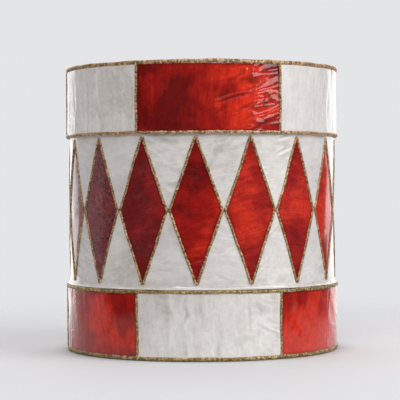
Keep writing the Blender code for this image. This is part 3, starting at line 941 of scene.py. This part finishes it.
class LANTERN_OT_band_cords(bpy.types.Operator):
    """Make the rim, step and foot cords and the upright cords on the bands' seams"""

    bl_idname = "lantern.band_cords"
    bl_label = "Band Cords"

    def execute(self, context):
        settings = context.scene.lantern_cord
        rings = self.ring_places(settings)
        turn = np.linspace(0.0, 2 * math.pi, 720, endpoint=False)
        for order, (name, (node, ring, height, radius)) in enumerate(rings.items()):
            rng = np.random.default_rng(SEEDS["ring"] + order)
            sway = sum(np.sin(k * turn + rng.uniform(0, 6.28)) for k in (5, 11, 19, 31)) / 2
            line = round_axis(ring, turn, height + 0.7 * settings.waver * sway)
            cord_piece(f"{name}_gold", line, True, radius, settings,
                       SEEDS["ring_grain"] + order, 16, node, 0.0 if "upper" in node else 1.0)
        self.make_seams(settings, rings)
        return {"FINISHED"}

    def ring_places(self, settings):
        """Name to (node, ring radius, height, cord radius) of the four rings."""
        upper, lower = wall_place("upper_band_cords"), wall_place("lower_band_cords")
        edge_ring = BAND_RADIUS - SHELL_THICKNESS / 2
        rim, step, foot = settings.rim_radius, settings.step_radius, settings.foot_radius
        return {
            "rim_cord": ("upper_band_cords", edge_ring, upper["high"] - rim, rim),
            "upper_step_cord": ("upper_band_cords", BAND_RADIUS, upper["low"] + step, step),
            "lower_step_cord": ("lower_band_cords", BAND_RADIUS, lower["high"] - step, step),
            "foot_cord": ("lower_band_cords", edge_ring, lower["low"] + foot, foot),
        }

    def make_seams(self, settings, rings):
        """An upright cord between two rings at the right-hand edge of each panel."""
        spans = {"upper": (rings["upper_step_cord"][2], rings["rim_cord"][2]),
                 "lower": (rings["foot_cord"][2], rings["lower_step_cord"][2])}
        half_panel = math.pi / 6
        for order, node in enumerate(RED_PANELS + WHITE_PANELS):
            band = node.split("_")[0]
            rng = np.random.default_rng(SEEDS["seam"] + order)
            height = np.linspace(*spans[band], 60)
            sway = slow_waves(0.0 * height, height, rng, 0.008, 0.03)
            turn = wall_place(node)["middle"] + half_panel
            turn = turn + 0.8 * settings.waver * sway / BAND_RADIUS
            cord_piece(f"{band}_seam_cord_{order + 1:02d}_gold",
                       round_axis(BAND_RADIUS, turn, height), False, settings.seam_radius,
                       settings, SEEDS["seam_grain"] + order, 14, f"{band}_band_cords",
                       0.4 if band == "upper" else 0.8)


# ---- Vessel and dish ----

class LANTERN_OT_glass(bpy.types.Operator):
    """Make the glass cylinder with its rounded rim, and finish the backing strips"""

    bl_idname = "lantern.glass"
    bl_label = "Glass"

    def execute(self, context):
        settings = context.scene.lantern_vessel
        clear_glass(settings)
        milky_strip(settings)
        x, y, z = node_places("glass_cylinder")
        outer, top = GLASS["outer"], GLASS["high"]
        under_dish, rim_depth = 0.0003, 0.004
        floor = DISH["low"] - under_dish
        inner = np.hypot(x, y)[z > top - rim_depth].min()
        edge = settings.glass_edge
        # A ring just past each rounding keeps the long flat faces flat when shaded.
        past = edge + 0.001
        profile = [(0.0, 0.0), (outer - past, 0.0)]
        profile += arc((outer - edge, edge), edge, -90, 0, 5)
        profile += [(outer, past), (outer, top - past)]
        profile += arc((outer - edge, top - edge), edge, 0, 90, 5)
        profile += arc((inner + edge, top - edge), edge, 90, 180, 5)
        profile += [(inner, top - past), (inner, floor + past)]
        profile += arc((inner - edge, floor + edge), edge, 0, -90, 5)
        profile += [(inner - past, floor), (0.0, floor)]
        make_turned("glass_cylinder_clear", profile, 240, "clear_glass", ("glass_cylinder",),
                    crease=60)
        for node in ("upper_band_backing", "lower_band_backing"):
            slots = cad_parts[node].data.materials
            slots.clear()
            slots.append(bpy.data.materials["milky_strip_finish"])
        return {"FINISHED"}


class LANTERN_OT_dish(bpy.types.Operator):
    """Make the spun brass candle dish"""

    bl_idname = "lantern.dish"
    bl_label = "Candle Dish"

    def execute(self, context):
        settings = context.scene.lantern_vessel
        spun_brass(settings)
        lip, sheet = settings.dish_lip, settings.dish_sheet
        low, high, outer = DISH["low"], DISH["high"], DISH["outer"]
        wall = outer - 2 * lip
        bend, step = 0.005, 0.00015
        inside = bend - sheet
        profile = [(0.0, low), (outer * 0.45, low), (outer * 0.47, low + step)]
        profile += arc((wall + sheet - bend, low + bend), bend, -90, 0, 8)
        profile += arc((outer - lip, high - lip), lip, -90, 180, 14)
        profile += arc((wall - inside, low + sheet + inside), inside, 0, -90, 8)
        profile += [(outer * 0.47, low + sheet + step), (outer * 0.45, low + sheet)]
        profile.append((0.0, low + sheet))
        make_turned("candle_dish_brass", profile, 180, "spun_brass", ("candle_dish",), "dish", 60)
        return {"FINISHED"}


# ---- Stage ----

# Each soft light's place, width, height and power.
SOFTBOXES = {
    "key_softbox": ((1.15, -0.62, 0.83), 1.00, 1.05, 14.2),
    "top_softbox": ((-0.1, -0.3, 1.7), 1.3, 1.3, 8.0),
    "front_softbox": ((-0.60, -1.9, 1.3), 1.0, 0.7, 16.0),
}

# Sectors of light round the lantern: where each begins and is full, in degrees
# to the right of the front, and its strength; then the light from overhead, from
# the pale ground and from all round.
SECTORS = ((135.0, 139.0, 1.4), (-136.0, -140.0, 1.2), (-88.0, -93.0, 0.42))
OVERHEAD_LIGHT = 0.40
GROUND_LIGHT = 0.62
BASE_LIGHT = 0.045

# The floor's rings and steps round, where it starts and ends to fade as shares
# of its radius, and the width of the painted contact shadow round the foot.
FLOOR_RINGS = 8
FLOOR_STEPS = 96
FADE_START = 0.02
FADE_END = 0.19
PAINTED_CONTACT_SHADOW_WIDTH = 0.016


class LANTERN_OT_stage(bpy.types.Operator):
    """Make the floor, the soft lights and the camera"""

    bl_idname = "lantern.stage"
    bl_label = "Stage"

    def execute(self, context):
        settings = context.scene.lantern_stage
        self.make_floor(settings)
        self.make_world(settings)
        for name, light in SOFTBOXES.items():
            self.make_light(name, *light)
        self.make_camera(settings)
        context.scene.view_settings.view_transform = "Standard"
        return {"FINISHED"}

    def make_floor(self, settings):
        """Round floor that fades into the backdrop at its edge."""
        rings = np.linspace(0.0, settings.floor_radius, FLOOR_RINGS + 1)[1:]
        profile = np.stack([rings, 0.0 * rings], axis=-1)
        points = turned_points(profile, FLOOR_STEPS).reshape(-1, 3)
        faces = grid_faces(FLOOR_STEPS, FLOOR_RINGS, True, False, flip=True).tolist()
        faces += fan(len(points), np.arange(FLOOR_STEPS) * FLOOR_RINGS)
        points = np.vstack([points, [[0.0, 0.0, 0.0]]])
        mesh = bpy.data.meshes.new("paper_floor")
        mesh.from_pydata(points.tolist(), [], faces)
        tree, shader = new_material("paper_floor")
        reach = add_node(tree, "VectorMath", {0: object_space(tree)},
                         operation="LENGTH").outputs["Value"]
        fade = remap(tree, reach, settings.floor_radius * FADE_START,
                     settings.floor_radius * FADE_END, 1.0, 0.0)
        set_inputs(tree, shader, {
            "Base Color": (*settings.paper, 1.0),
            "Roughness": 0.75,
            "Specular IOR Level": 0.1,
            "Alpha": fade,
            "Emission Color": (*settings.paper_glow, 1.0),
            # Painted contact shadow: the floor's glow is off under the lantern and rises over a
            # narrow ring past its foot.
            "Emission Strength": remap(tree, reach, BAND_RADIUS, BAND_RADIUS + PAINTED_CONTACT_SHADOW_WIDTH),
        })
        mesh.materials.append(bpy.data.materials["paper_floor"])
        floor = bpy.data.objects.new("paper_floor", mesh)
        bpy.context.scene.collection.objects.link(floor)

    def make_world(self, settings):
        """Plain backdrop for the eye, and soft light for the lantern.

        The light is stronger in three sectors round it, even overhead, and
        comes up from the pale ground below.
        """
        world = bpy.data.worlds.new("studio")
        bpy.context.scene.world = world
        world.use_nodes = True
        tree = world.node_tree
        tree.nodes.clear()
        way = add_node(tree, "TexCoord").outputs["Generated"]
        side, depth, rise = add_node(tree, "SeparateXYZ", {0: way}).outputs
        turn = maths(tree, "ARCTAN2", side, maths(tree, "MULTIPLY", depth, -1.0))
        turn = maths(tree, "MULTIPLY", turn, 180.0 / math.pi)
        above = remap(tree, rise, 0.62, 0.90)
        below = remap(tree, rise, -0.08, -0.30)
        level = maths(tree, "SUBTRACT", 1.0, maths(tree, "ADD", above, below))
        around = weighted(tree, *((remap(tree, turn, start, full, 0.0, power), 1.0)
                                  for start, full, power in SECTORS))
        around = maths(tree, "MULTIPLY", around, level)
        strength = weighted(tree, (around, 1.0), (above, OVERHEAD_LIGHT), (below, GROUND_LIGHT))
        strength = maths(tree, "ADD", strength, BASE_LIGHT)
        glow = add_node(tree, "Background", {0: (1.0, 0.99, 0.99, 1.0), 1: strength})
        plain = add_node(tree, "Background", {0: (*settings.backdrop, 1.0), 1: 1.0})
        seen = add_node(tree, "LightPath").outputs["Is Camera Ray"]
        both = add_node(tree, "MixShader", {0: seen, 1: glow.outputs[0], 2: plain.outputs[0]})
        add_node(tree, "OutputWorld", {0: both.outputs[0]})

    def make_light(self, name, place, width, height, power):
        """A soft rectangular light aimed at the lantern's middle."""
        light = bpy.data.lights.new(name, "AREA")
        light.shape = "RECTANGLE"
        light.size, light.size_y, light.energy = width, height, power
        lamp = bpy.data.objects.new(name, light)
        lamp.location = place
        aim = lamp.location * -1.0
        aim.z += 0.10
        lamp.rotation_euler = aim.to_track_quat("-Z", "Y").to_euler()
        bpy.context.scene.collection.objects.link(lamp)

    def make_camera(self, settings):
        """Long lens at the lantern's middle height, looking along +Y."""
        data = bpy.data.cameras.new("camera")
        data.lens = settings.lens
        data.sensor_width = 36.0
        camera = bpy.data.objects.new("camera", data)
        camera.location = (-settings.side_step, -settings.distance, settings.eye_height)
        tilt_down, roll = 0.39, 0.3
        camera.rotation_euler = (math.radians(90.0 - tilt_down), math.radians(roll), 0.0)
        bpy.context.scene.collection.objects.link(camera)
        bpy.context.scene.camera = camera


# ---- Add-on ----

OPERATORS = (
    LANTERN_OT_band_panels,
    LANTERN_OT_diamonds,
    LANTERN_OT_white_ground,
    LANTERN_OT_diamond_cords,
    LANTERN_OT_band_cords,
    LANTERN_OT_glass,
    LANTERN_OT_dish,
    LANTERN_OT_stage,
)

GROUPS = {
    "lantern_shell": ShellSettings,
    "lantern_cord": CordSettings,
    "lantern_vessel": VesselSettings,
    "lantern_stage": StageSettings,
}


class LANTERN_PT_panel(bpy.types.Panel):
    """Lists the lantern's pieces and their settings"""

    bl_idname = "LANTERN_PT_panel"
    bl_label = "Shell Drum Lantern"
    bl_space_type = "VIEW_3D"
    bl_region_type = "UI"
    bl_category = "Lantern"

    def draw(self, context):
        column = self.layout.column()
        for operator in OPERATORS:
            column.operator(operator.bl_idname)
        for name, group in GROUPS.items():
            box = self.layout.box()
            box.label(text=group.__doc__)
            for field in group.__annotations__:
                box.prop(getattr(context.scene, name), field)


CLASSES = (*GROUPS.values(), *OPERATORS, LANTERN_PT_panel)


def register():
    for kind in CLASSES:
        bpy.utils.register_class(kind)
    for name, group in GROUPS.items():
        setattr(bpy.types.Scene, name, bpy.props.PointerProperty(type=group))


def unregister():
    for name in GROUPS:
        delattr(bpy.types.Scene, name)
    for kind in reversed(CLASSES):
        bpy.utils.unregister_class(kind)


def corners(box):
    """A box's two corners as plain lists."""
    return [[float(value) for value in corner] for corner in box]


def main():
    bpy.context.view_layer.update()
    register()
    bpy.ops.lantern.band_panels()
    bpy.ops.lantern.diamonds()
    bpy.ops.lantern.white_ground()
    bpy.ops.lantern.diamond_cords()
    bpy.ops.lantern.band_cords()
    bpy.ops.lantern.glass()
    bpy.ops.lantern.dish()
    bpy.ops.lantern.stage()


if __name__ == "__main__":
    main()
